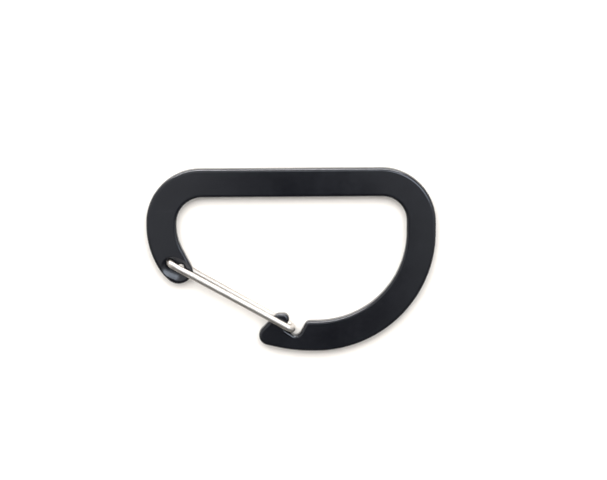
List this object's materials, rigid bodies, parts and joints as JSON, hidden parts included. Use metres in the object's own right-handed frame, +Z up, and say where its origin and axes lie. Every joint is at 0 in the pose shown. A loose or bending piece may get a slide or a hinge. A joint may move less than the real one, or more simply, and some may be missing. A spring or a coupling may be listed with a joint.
{
  "type": "carabiner keyring",
  "caption": "Flat D-shaped keyring carabiner: satin black plate with a hooked nose and a sprung wire gate that opens inwards.",
  "frame": {"origin": "under the middle of the plate, level with the lowest point of the gate wire, as the carabiner lies flat", "axes": "+X along the spine from the pivot end to the bow end, +Y from the bow towards the spine, +Z up through the thickness"},
  "size_m": [0.07, 0.045, 0.0063],
  "materials": {
    "anodised_plate": "satin black anodised aluminium with a fine matt blasted grain",
    "gate_wire": "bright drawn stainless spring wire with faint drawing lines along it"
  },
  "bodies": {
    "plate": {"body_plate": "anodised_plate"},
    "lower_leg": {"gate_lower_leg": "gate_wire"},
    "upper_leg": {"gate_upper_leg": "gate_wire"}
  },
  "joints": [
    {"name": "gate_swing", "type": "hinge", "parent": "plate", "child": "lower_leg", "pos_m": [-0.02675, -0.00147, 0.00315], "axis": [0, 0, 1], "range_deg": [0, 30], "stiffness_Nm_per_rad": 0.06, "springref_deg": -28.65},
    {"name": "nose_twist", "type": "hinge", "parent": "lower_leg", "child": "upper_leg", "pos_m": [0, -0.0169, 0.00315], "axis": [0, 0, 1], "range_deg": [-3, 0.2]}
  ],
  "couplings": [
    {"joint": "nose_twist", "follows": "gate_swing", "ratio": -0.0821}
  ]
}
